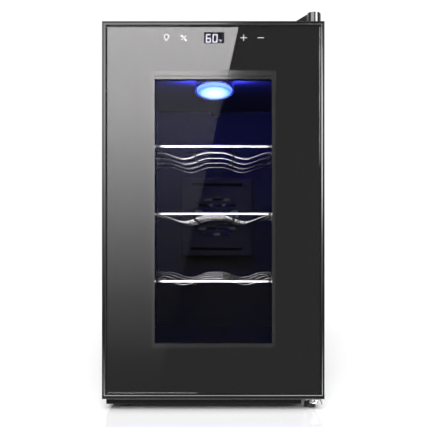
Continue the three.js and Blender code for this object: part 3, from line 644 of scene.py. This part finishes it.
def digit_segments(x, z, width, height, on):
    """Outlines of a seven-segment digit's lit bars, its lower left corner at x and z."""
    t = width * 0.2
    half = height / 2
    lean = 0.05
    bars = {
        "a": (t * 0.5, height - t, width - t * 0.5, height), "d": (t * 0.5, 0, width - t * 0.5, t),
        "g": (t * 0.5, half - t / 2, width - t * 0.5, half + t / 2),
        "f": (0, half + t * 0.1, t, height - t * 0.3), "e": (0, t * 0.3, t, half - t * 0.1),
        "b": (width - t, half + t * 0.1, width, height - t * 0.3),
        "c": (width - t, t * 0.3, width, half - t * 0.1),
    }
    shapes = []
    for key in on:
        x0, z0, x1, z1 = bars[key]
        corners = box_outline(x0, x1, z0, z1, t * 0.3, 3)
        shapes.append([(x + a + lean * b, z + b) for a, b in corners])
    return shapes


def display():
    """The dark display window with its two lit digits and a small unit mark."""
    low, high = BOX["display_module"]
    pane_back = BOX["outer_glass"][1].y
    front = pane_back + 0.35 * MM
    middle = (low.x + high.x) / 2
    window = solid_box("display_window", (low.x + 0.4 * MM, front, low.z + 0.4 * MM),
                       (high.x - 0.4 * MM, high.y, high.z - 0.4 * MM), 0.2 * MM, 2)
    place(window, "display_module")
    base = low.z + 2.3 * MM
    tall = 9.7 * MM
    wide = 5.7 * MM
    shapes = digit_segments(middle - 8.7 * MM, base, wide, tall, "afedcg")
    shapes += digit_segments(middle - 1.1 * MM, base, wide, tall, "abcdef")
    glow_y = front - 0.12 * MM
    lit = [slab(f"bar_{i}", [shape], glow_y, front - 0.01 * MM) for i, shape in enumerate(shapes)]
    place(joined("display_digits", lit), "display_module", LIT_DIGIT, hide=False)
    unit_x = middle + 6.6 * MM
    unit_z = base + 0.4 * MM

    def circle(radius, turn):
        return [(unit_x + radius * math.cos(turn * a), unit_z + 2.7 * MM + radius * math.sin(turn * a))
                for a in (2 * math.pi * k / 16 for k in range(16))]

    marks = [slab("degree", [circle(0.7 * MM, 1), circle(0.3 * MM, -1)], glow_y, front - 0.01 * MM)]
    fx = unit_x + 1.3 * MM
    for a0, a1, b0, b1 in ((0, 0.6, 0, 2.8), (0.6, 1.9, 2.2, 2.8), (0.6, 1.5, 1.1, 1.6)):
        outline = box_outline(fx + a0 * MM, fx + a1 * MM, unit_z + b0 * MM, unit_z + b1 * MM)
        marks.append(slab("unit", [outline], glow_y, front - 0.01 * MM))
    place(joined("display_unit", marks), "display_module", LIT_UNIT, hide=False)


SYMBOL_X = {"bulb": -53.8, "unit": -34.2, "plus": 34.9, "minus": 54.6}    # in mm, from the middle


def icons():
    """Touch symbols that shine through the print: lamp, unit change, warmer and colder."""
    low, high = BOX["display_module"]
    middle = (low.z + high.z) / 2 + 0.3 * MM
    y1 = BOX["outer_glass"][1].y + 0.08 * MM
    y0 = y1 - 0.05 * MM
    thin, stroke, span = 0.55, 0.66, 7.4
    arm = (span - stroke) / 2
    bulb_r, bulb_z = 2.9, 1.3

    def outlined(symbol, points):
        shape = [((SYMBOL_X[symbol] + a) * MM, middle + b * MM) for a, b in points]
        return slab(symbol, [shape], y0, y1)

    def bar(symbol, x, z, wide, tall, turn=0):
        """A straight stroke with its centre and size in mm, turned by an angle in degrees."""
        cos, sin = math.cos(math.radians(turn)), math.sin(math.radians(turn))
        corners = box_outline(-wide / 2, wide / 2, -tall / 2, tall / 2)
        return outlined(symbol, [(x + a * cos - b * sin, z + a * sin + b * cos) for a, b in corners])

    glass_bulb = arc(0, bulb_z, bulb_r, -35, 215, 20) + arc(0, bulb_z, bulb_r - thin, 215, -35, 20)
    symbols = {
        "plus": [bar("plus", 0, 0, span, stroke), bar("plus", 0, (stroke + arm) / 2, stroke, arm),
                 bar("plus", 0, -(stroke + arm) / 2, stroke, arm)],
        "minus": [bar("minus", 0, 0, span, stroke)],
        "unit": [bar("unit", 0, 0, 8.8, thin, -38), bar("unit", -2.1, 2.4, 3.0, 0.6),
                 bar("unit", 2.0, 1.5, 3.2, 0.6, 30), bar("unit", 2.4, -2.75, 3.0, 0.9, -25),
                 bar("unit", -1.85, -1.7, 1.9, 0.6, 35)],
        "bulb": [outlined("bulb", glass_bulb), bar("bulb", -1.35, bulb_z - 2.5, 2.0, 0.5, -52),
                 bar("bulb", 1.35, bulb_z - 2.5, 2.0, 0.5, 52), bar("bulb", 0, bulb_z - 4.1, 1.6, 1.0)],
    }
    for name, shapes in symbols.items():
        glow = DIM_ICON if name in ("plus", "minus") else LIT_ICON
        place(joined("touch_symbol_" + name, shapes), "glass_print", glow, hide=False)


SPACER_BAR = 10 * MM
SPACER_HEAD = 13.5 * MM
SPACER_STEP = 1.2 * MM


def printed_border():
    """Black enamel behind the glass, with the clear window and the display window left out."""
    low, high = BOX["glass_print"]
    spacer_low, spacer_high = BOX["spacer_frame"]
    shown_low, shown_high = BOX["display_module"]
    hide_side, hide_foot, hide_head = 6.1 * MM, 5.2 * MM, 3.2 * MM
    past_glass = 0.42 * MM
    outer = box_outline(low.x - past_glass, high.x + past_glass, low.z - past_glass, high.z + past_glass,
                        0.3 * MM)
    window = box_outline(spacer_low.x + hide_side, spacer_high.x - hide_side, spacer_low.z + hide_foot,
                         spacer_high.z - hide_head, 0.5 * MM)
    middle = (shown_low.x + shown_high.x) / 2
    face = box_outline(middle - 10.6 * MM, middle + 12.7 * MM, shown_low.z + 1.4 * MM,
                       shown_high.z - 0.8 * MM, 0.4 * MM)
    place(slab("printed_border", [outer, window, face], low.y, high.y), "glass_print")


def spacer_frame():
    """The bar between the panes: a flat face, and at the head a set-back strip below it."""
    low, high = BOX["spacer_frame"]
    front, back = low.y, high.y
    wide = SPACER_BAR
    head = SPACER_HEAD
    soft = 0.25 * MM
    inner = wide - soft
    profile = [(0, 0, 0, front + soft), (soft, soft, soft, front), (inner, inner, inner, front),
               (wide, wide, wide, front + soft), (wide, wide, wide, front + SPACER_STEP),
               (wide, wide, head - soft, front + SPACER_STEP),
               (wide, wide, head, front + SPACER_STEP + soft), (wide, wide, head, back), (0, 0, 0, back)]
    place(swept_frame("spacer_bar", low, high, profile), "spacer_frame")


def door_gasket():
    """A hollow magnetic seal: a foot in the door, a folded web and a rounded magnet pocket."""
    low, high = BOX["door_gasket"]
    wide = 9.5 * MM
    tall = high.y - low.y
    points = [(0.2, 0.0), (0.05, 0.12), (0.14, 0.28), (0.02, 0.42), (0.1, 0.56), (0.0, 0.74), (0.05, 0.9),
              (0.16, 0.98), (0.5, 1.0), (0.84, 0.98), (0.95, 0.9), (1.0, 0.74), (0.9, 0.56), (0.98, 0.42),
              (0.86, 0.28), (0.95, 0.12), (0.8, 0.0)]
    profile = [(wide * a, wide * a, wide * a, low.y + tall * b) for a, b in points]
    place(swept_frame("door_seal", low, high, profile), "door_gasket")


def door():
    door_frame()
    refined("outer_glass", 0.08 * MM, 1)
    printed_border()
    spacer_frame()
    refined("inner_glass", 0.4 * MM, 2)
    refined("door_rear_panel", 0.7 * MM, 3)
    door_gasket()
    display()
    icons()


# ---- Shelves --------------------------------------------------------------------------------

WAVE_WIRES = 4
WAVE_STEPS = 60
DIP_X = 40 * MM
DIP_HALF_W = 32 * MM
DIP_DEPTH = 8 * MM
SUPPORT_RODS = (-72 * MM, -24 * MM, 24 * MM, 72 * MM)
BAR_R = 2.0 * MM
WIRE_R = 1.6 * MM
ROD_R = WIRE_R * 0.8


def wave_height(x):
    """How far a cross wire dips below the front bar, in the cradles under the bottles."""
    away = min(abs(abs(x) - DIP_X), DIP_HALF_W)
    return -DIP_DEPTH * 0.5 * (1 + math.cos(math.pi * away / DIP_HALF_W))


def shelf(node):
    """A wire shelf: a straight front bar, side rods, wave-shaped cross wires and rods under them."""
    low, high = BOX[node]
    level = high.z - BAR_R
    front = low.y + BAR_R
    back = high.y - 1.6 * MM
    half = high.x - BAR_R + 0.1 * MM
    side = half - 1.4 * MM
    rim = [tube("front_bar", [(x, front, level) for x in (-half, -side, side, half)], BAR_R, 20)]
    for x in (-side, side):
        rim.append(tube("side_rod", [(x, front, level), (x, back, level)], BAR_R, 16))
    place(joined("rim_" + node, rim), node)
    wires = []
    pitch = (back - front) / WAVE_WIRES
    for wire in range(1, WAVE_WIRES + 1):
        points = []
        for k in range(WAVE_STEPS + 1):
            x = side * (2 * k / WAVE_STEPS - 1)
            points.append((x, front + wire * pitch, level + wave_height(x)))
        wires.append(tube("cross_wire", points, WIRE_R, 12))
    for x in SUPPORT_RODS:
        z = level + wave_height(x) - 2.2 * MM
        run = [(x, front, level - 0.6 * MM), (x, front + 6 * MM, level - 0.9 * MM),
               (x, front + 18 * MM, z + 0.4 * MM), (x, front + 26 * MM, z), (x, back, z)]
        wires.append(tube("support_rod", run, ROD_R, 12))
    # The cross wires and rods take the darkened chrome, as painted shade.
    place(joined("wires_" + node, wires), node, PAINTED_SHADE_WIRE, hide=False)


# ---- Cabinet --------------------------------------------------------------------------------


LENS_W, LENS_H = 22.4 * MM, 12.4 * MM      # half the lens's width and height
NACELLE_RIM = ((22.8, 12.8, 7.0), (22.8, 12.8, 0.5), (23.1, 13.1, 0.12), (23.5, 13.5, 0.0),
               (24.3, 14.3, 0.0), (24.75, 14.75, 0.18), (25.0, 15.0, 0.7))


def lamp():
    """The ceiling lamp: an oval nacelle cut off by the ceiling, with a domed lens in its face."""
    ceiling = BOX["lamp_housing"][1].z
    tilt = math.radians(45)
    back = Vector((0, math.sin(tilt), math.cos(tilt)))
    up = Vector((0, -math.cos(tilt), math.sin(tilt)))
    right = Vector((1, 0, 0))
    centre = LENS_CENTRE - back * 1.65 * MM
    steps = 72

    def ring(half_w, half_h, depth):
        return [centre + right * half_w * math.cos(a) + up * half_h * math.sin(a) + back * depth
                for a in (2 * math.pi * k / steps for k in range(steps))]

    rings = [ring(w * MM, h * MM, d * MM) for w, h, d in NACELLE_RIM]
    rings.append([p + back * ((ceiling - p.z) / back.z) for p in rings[-1]])
    housing = mesh_piece("lamp_nacelle", [p for r in rings for p in r], ring_faces(len(rings), steps))
    tidy_mesh(housing)
    place(smooth(housing, 30), "lamp_housing")
    rings = [ring(LENS_W, LENS_H, 2.9 * MM)]
    for t in (math.radians(6 * step) for step in range(15)):
        rings.append(ring(LENS_W * math.cos(t), LENS_H * math.cos(t), (0.6 - 1.6 * math.sin(t)) * MM))
    lens = mesh_piece("lamp_lens_dome", [p for r in rings for p in r], ring_faces(len(rings), steps))
    tidy_mesh(lens)
    place(smooth(lens, 60), "lamp_lens")


def screw_head(node, name, radius, height, axis="Y"):
    """A pan head with a cross slot, its flat side at the CAD head's foot."""
    low, high = BOX[node]
    centre = (low + high) / 2
    profile = [(0, 0), (radius, 0), (radius, height * 0.45), (radius * 0.9, height * 0.75),
               (radius * 0.6, height * 0.95), (radius * 0.3, height), (0, height)]
    slots = ((0.22 * radius, 0.62 * radius), (0.62 * radius, 0.22 * radius))
    sunk = height * 0.55
    if axis == "Y":
        head = turned(name, [(r, -h) for r, h in profile], (centre.x, low.y, centre.z), 28, "Y")
        cutters = [solid_box("slot", (centre.x - a, low.y + sunk, centre.z - b),
                             (centre.x + a, high.y + 1 * MM, centre.z + b)) for a, b in slots]
    else:
        sign = 1 if axis == "Z" else -1
        base = low.z if sign > 0 else high.z
        head = turned(name, [(r, sign * h) for r, h in profile], (centre.x, centre.y, base), 28)
        z0, z1 = sorted((base + sign * sunk, base + sign * (height + 1 * MM)))
        cutters = [solid_box("slot", (centre.x - a, centre.y - b, z0), (centre.x + a, centre.y + b, z1))
                   for a, b in slots]
    carved(head, *cutters)
    place(smooth(head, 35), node)


def foot(node):
    """A round rubber foot with a ribbed rim; the one under the hinge has a stud."""
    low, high = BOX[node]
    centre = (low + high) / 2
    r = (high.x - low.x) / 2
    tall = high.z - low.z
    rim = min(tall, 6.5 * MM)
    profile = [(0, 0), (r - 1.2 * MM, 0), (r - 0.4 * MM, 0.25 * MM), (r, 1.0 * MM), (r, 1.9 * MM),
               (r - 0.35 * MM, 2.3 * MM), (r - 0.35 * MM, 3.0 * MM), (r - 0.1 * MM, 3.4 * MM),
               (r - 0.4 * MM, rim - 0.7 * MM), (r - 1.0 * MM, rim)]
    if tall > rim:
        profile += [(4 * MM, rim), (4 * MM, tall)]
    profile += [(0, tall)]
    place(turned("stud_" + node, profile, (centre.x, centre.y, 0), 36), node)


def hinges():
    refined("top_hinge_cover", 0.9 * MM, 4, 24, 50)
    refined("top_hinge_bracket", 0.3 * MM)
    refined("top_hinge_pin", 0.4 * MM)
    for index in (1, 2):
        screw_head(f"top_hinge_screw_{index}", f"top_screw_{index}", 4 * MM, 2.5 * MM, "Z")
        screw_head(f"bottom_hinge_screw_{index}", f"bottom_screw_{index}", 3.2 * MM, 2.2 * MM, "-Z")
    refined("bottom_hinge_pin", 0.5 * MM, 3)
    refined("bottom_hinge_bracket", 0.5 * MM, 3)


def cabinet():
    for side in ("left", "right"):
        refined("side_panel_" + side, 0.45 * MM, 3)
    refined("top_panel", 0.45 * MM, 3)
    refined("bottom_panel", 0.4 * MM)
    # The plinth's near-black finish is painted shade under the door.
    refined("base_plinth", 0.8 * MM, 3, material=PAINTED_SHADE_BLACK)
    refined("back_panel", 0.3 * MM)
    refined("liner", 0.7 * MM, 3)
    refined("lamp_wire_duct", 0.8 * MM, 3)
    # The fan cover's extra-dark finish is painted shade.
    refined("inner_fan_cover", 0.6 * MM, 3, material=PAINTED_SHADE_MATT_BLACK)
    refined("rear_vent_cover", 0.6 * MM, 3)
    refined("power_inlet", 0.5 * MM, 3)
    for pin in ("line", "neutral", "earth"):
        refined("inlet_pin_" + pin, 0.4 * MM, 2)
    for node in ("foot_front_left", "foot_front_right", "foot_rear_left", "foot_rear_right"):
        foot(node)
    for index in (1, 2, 3, 4):
        screw_head(f"back_screw_{index}", f"rear_screw_{index}", 3.5 * MM, 2.2 * MM)


def carried_over():
    """CAD nodes whose shape is right keep it and get their finish."""
    for node, piece in frame["nodes"].items():
        piece.data.materials.clear()
        piece.data.materials.append(FINISH[SLOT_OF[node]])


# ---- Studio ---------------------------------------------------------------------------------

VIEW_DISTANCE = 1.0            # from the eye to the door's face
FIELD = 0.4888                 # width seen at the door's face
EYE_X = 0.015
EYE_Z = 0.1962
VIEW_CENTRE_X = 0.0003
VIEW_CENTRE_Z = 0.2286
SENSOR = 36.0
FRONT = CAD_BOX[0][1]
CARD_BEHIND = 0.5              # from the eye back to the card that the door mirrors
FLOOR_SHEEN = 0.2
LAMP_BLUE = (0.05, 0.06, 1.0)


def camera():
    data = bpy.data.cameras.new("camera")
    data.sensor_width = SENSOR
    data.lens = SENSOR * VIEW_DISTANCE / FIELD
    data.shift_x = (VIEW_CENTRE_X - EYE_X) / FIELD
    data.shift_y = (VIEW_CENTRE_Z - EYE_Z) / FIELD
    eye = link(bpy.data.objects.new("camera", data))
    eye.location = (EYE_X, FRONT - VIEW_DISTANCE, EYE_Z)
    eye.rotation_euler = (math.pi / 2, 0, 0)
    bpy.context.scene.camera = eye
    bpy.context.scene.view_settings.view_transform = "Standard"


def world():
    """White behind the object, a soft even sky for its surfaces, and a dim room in its mirrors."""
    sky = bpy.data.worlds.new("studio")
    sky.use_nodes = True
    tree = sky.node_tree
    tree.nodes.clear()
    out = tree.nodes.new("ShaderNodeOutputWorld")
    ways = tree.nodes.new("ShaderNodeLightPath")
    towards = tree.nodes.new("ShaderNodeTexCoord")
    split = tree.nodes.new("ShaderNodeSeparateXYZ")
    room = tree.nodes.new("ShaderNodeValToRGB")
    tree.links.new(towards.outputs["Generated"], split.inputs[0])
    level = tree.nodes.new("ShaderNodeMapRange")
    level.inputs["From Min"].default_value = -1
    tree.links.new(split.outputs["Z"], level.inputs["Value"])
    tree.links.new(level.outputs["Result"], room.inputs["Fac"])
    elements = room.color_ramp.elements
    for position, value in ((0.0, 0.8), (0.3, 0.5), (0.38, 0.25), (0.62, 0.25), (0.72, 0.9)):
        element = elements.new(position)
        element.color = (value, value, value, 1)
    elements.remove(elements[0])
    elements[-1].color = (1, 1, 1, 1)
    rearwards = tree.nodes.new("ShaderNodeMapRange")
    rearwards.inputs["From Min"].default_value = 0.1
    rearwards.inputs["From Max"].default_value = 0.5
    tree.links.new(split.outputs["Y"], rearwards.inputs["Value"])

    def background(value=None):
        node = tree.nodes.new("ShaderNodeBackground")
        if value is None:
            tree.links.new(room.outputs["Color"], node.inputs["Color"])
        else:
            node.inputs["Color"].default_value = (value, value, value, 1)
        return node.outputs["Background"]

    def mix(fac, first, second):
        node = tree.nodes.new("ShaderNodeMixShader")
        tree.links.new(fac, node.inputs[0])
        tree.links.new(first, node.inputs[1])
        tree.links.new(second, node.inputs[2])
        return node.outputs["Shader"]

    around = mix(rearwards.outputs["Result"], background(), background(1.05))
    mirrored = mix(ways.outputs["Is Glossy Ray"], background(0.2), around)
    shown = mix(ways.outputs["Is Camera Ray"], mirrored, background(1.05))
    tree.links.new(shown, out.inputs["Surface"])
    bpy.context.scene.world = sky


def floor():
    """A white floor with a faint sheen that shows the object upside down."""
    sh = Shader("studio_floor")
    matt = sh.node("BsdfDiffuse")
    tone = sh.noise(3.0)
    tones = [(0.3, (0.955, 0.955, 0.955)), (0.7, (0.965, 0.965, 0.965))]
    sh.link(sh.ramp(tone, tones), matt.inputs["Color"])
    sheen = sh.node("BsdfGlossy")
    sheen.inputs["Color"].default_value = (FLOOR_SHEEN, FLOOR_SHEEN, FLOOR_SHEEN, 1)
    sheen.inputs["Roughness"].default_value = 0.04
    both = sh.node("AddShader")
    sh.link(matt.outputs["BSDF"], both.inputs[0])
    sh.link(sheen.outputs["BSDF"], both.inputs[1])
    material = sh.done(both.outputs["Shader"])
    ground = mesh_piece("floor", [(-30, -30, 0), (30, -30, 0), (30, 30, 0), (-30, 30, 0)], [(0, 1, 2, 3)])
    ground.data.materials.append(material)
    ground.visible_glossy = False


def on_card(x, z):
    """Where a spot that the door shows at x and z lies on the card behind the eye."""
    reach = 2 + CARD_BEHIND
    return (EYE_X + (x - EYE_X) * reach, FRONT - VIEW_DISTANCE - CARD_BEHIND, EYE_Z + (z - EYE_Z) * reach)


def mirrored_card(name, points, stops, low_z, high_z, strength):
    """A glowing card, seen only in mirrors, whose light changes with height between two levels."""
    card = mesh_piece(name, points, [tuple(range(len(points)))])
    sh = Shader(name)
    split = sh.node("SeparateXYZ")
    sh.link(sh.place, split.inputs[0])
    height = sh.spread(split.outputs["Z"], 0, 1, low_z, high_z)
    ways = sh.node("LightPath")
    direct = sh.node("Math", operation="LESS_THAN")
    sh.link(ways.outputs["Diffuse Depth"], direct.inputs[0])
    scaled = sh.node("Math", operation="MULTIPLY")
    sh.link(direct.outputs["Value"], scaled.inputs[0])
    scaled.inputs[1].default_value = strength
    glow = sh.node("Emission")
    sh.link(sh.ramp(height, [(at, (level, level, level)) for at, level in stops]), glow.inputs["Color"])
    sh.link(scaled.outputs["Value"], glow.inputs["Strength"])
    card.data.materials.append(sh.done(glow.outputs["Emission"]))
    card.visible_camera = False
    card.visible_diffuse = False
    card.visible_transmission = False
    card.visible_volume_scatter = False
    card.visible_shadow = False


def lamp_of(name, kind, place_at, energy, colour=(1, 1, 1), size=None, aim=None, **flags):
    data = bpy.data.lights.new(name, kind)
    data.energy = energy
    data.color = colour
    if size:
        data.shape = "RECTANGLE"
        data.size, data.size_y = size
    light = link(bpy.data.objects.new(name, data))
    light.location = place_at
    if aim:
        light.rotation_euler = (Vector(aim) - Vector(place_at)).to_track_quat("-Z", "Y").to_euler()
    for flag, value in flags.items():
        setattr(light, flag, value)
    return light


def lights():
    """A broad soft light from the front, one from above, and the blue spill of the ceiling lamp."""
    sun = lamp_of("soft_front", "SUN", (0, -2, 2), 4.2, visible_camera=False, visible_glossy=False)
    sun.data.angle = math.radians(24)
    sun.rotation_euler = (math.radians(61), 0, 0)
    lamp_of("soft_top", "AREA", (0, -1.3, 1.75), 6, size=(2.2, 1.0), aim=(0, -0.1, 0.2),
            visible_camera=False)
    ceiling = BOX["lamp_housing"][1].z
    wash = lamp_of("lamp_wash", "SPOT", (0, LENS_LO.y - 0.03, ceiling - 0.03), 12, LAMP_BLUE,
                   aim=(0, LENS_LO.y + 0.055, ceiling), visible_camera=False, visible_glossy=False)
    wash.data.spot_size = math.radians(125)
    wash.data.spot_blend = 1.0
    wash.data.shadow_soft_size = 0.012
    for side in (-1, 1):
        beside = (side * 0.031, LENS_LO.y + 0.024, ceiling - 0.012)
        spill = lamp_of(f"lamp_spill_{side}", "POINT", beside, 4, LAMP_BLUE,
                        visible_camera=False, visible_glossy=False)
        spill.data.shadow_soft_size = 0.004


def cards():
    """Light boxes that only mirrors show: the window on the left, and strips for the frame's beads."""
    corners = ((-0.95, 0.72), (0.0917, 0.72), (0.0304, 0.4486), (-0.0545, 0.0722), (-0.0648, 0.0206),
               (-0.95, 0.0206))
    window = [on_card(x, z) for x, z in corners]
    fade = [(0.0, 0.047), (0.0942, 0.058), (0.2547, 0.136), (0.4152, 0.300), (0.5755, 0.535),
            (0.736, 0.83), (0.7895, 0.91), (0.977, 1.08), (1.0, 1.08)]
    mirrored_card("left_window", window, fade, on_card(0, 0.0206)[2], on_card(0, 0.4486)[2], 5.4)
    y = FRONT - 1.0
    right = [(0.5, y, -0.1), (1.5, y, -0.1), (1.5, y, 0.9), (0.5, y, 0.9)]
    brighter_up = [(0.0, 0.06), (0.35, 0.16), (0.62, 0.8), (1.0, 1.0)]
    mirrored_card("right_strip", right, brighter_up, -0.1, 0.6, 17.0)
    low = [(-1.3, y, -1.5), (1.3, y, -1.5), (1.3, y, -0.42), (-1.3, y, -0.42)]
    mirrored_card("low_strip", low, [(0.0, 1.0), (0.9, 0.9), (1.0, 0.6)], -1.5, -0.42, 16.0)


camera()
world()
floor()
lights()
cards()
carried_over()
cabinet()
lamp()
hinges()
for level in ("top", "middle", "bottom"):
    shelf("shelf_" + level)
door()
